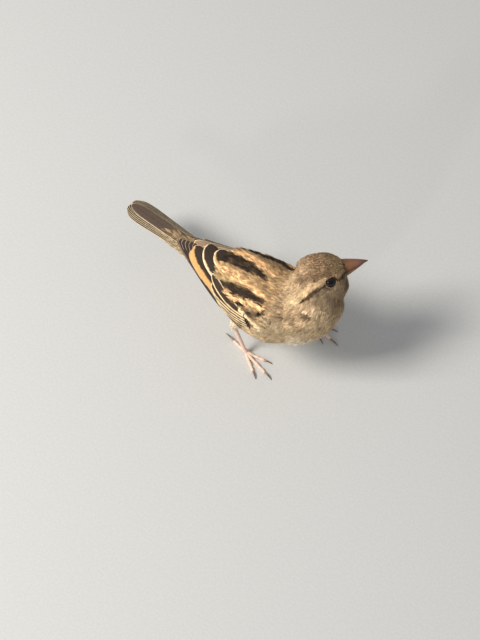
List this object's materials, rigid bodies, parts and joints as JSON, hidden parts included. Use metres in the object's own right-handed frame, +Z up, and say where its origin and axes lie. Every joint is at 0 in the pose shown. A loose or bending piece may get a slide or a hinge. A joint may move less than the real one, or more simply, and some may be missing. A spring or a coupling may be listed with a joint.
{
  "type": "house sparrow",
  "caption": "Adult female house sparrow standing on level ground, head turned to her left and raised, wings folded, streaked brown back and plain buff breast.",
  "frame": {"origin": "middle of the bird's outline seen from above, on the ground plane", "axes": "+X the way the trunk faces, +Y the bird's left, +Z up"},
  "size_m": [0.1228, 0.0558, 0.0678],
  "materials": {
    "body_feathers": "dull grey-brown and buff contour feathers, soft and matt",
    "wing_coverts": "brown feathers with buff fringes and pale bar",
    "flight_feathers": "black-brown vanes with buff edges, slightly glossy",
    "eye": "wet black-brown eye",
    "bill": "horny bill, pinkish brown, low gloss",
    "leg_skin": "scaled flesh-pink skin",
    "claw": "horny dark claws"
  },
  "bodies": {
    "root": {"eye_right": "eye", "eye_left": "eye", "head": "body_feathers", "neck": "body_feathers", "trunk": "body_feathers", "tail": "flight_feathers", "bill_upper": "bill", "bill_lower": "bill", "primaries_right": "flight_feathers", "secondaries_right": "flight_feathers", "wing_coverts_right": "wing_coverts", "primaries_left": "flight_feathers", "secondaries_left": "flight_feathers", "wing_coverts_left": "wing_coverts", "toe_right_inner": "leg_skin", "claw_right_inner": "claw", "toe_right_middle": "leg_skin", "claw_right_middle": "claw", "toe_right_outer": "leg_skin", "claw_right_outer": "claw", "toe_right_hind": "leg_skin", "claw_right_hind": "claw", "tarsus_right": "leg_skin", "thigh_right": "body_feathers", "toe_left_inner": "leg_skin", "claw_left_inner": "claw", "toe_left_middle": "leg_skin", "claw_left_middle": "claw", "toe_left_outer": "leg_skin", "claw_left_outer": "claw", "toe_left_hind": "leg_skin", "claw_left_hind": "claw", "tarsus_left": "leg_skin", "thigh_left": "body_feathers"}
  },
  "joints": []
}
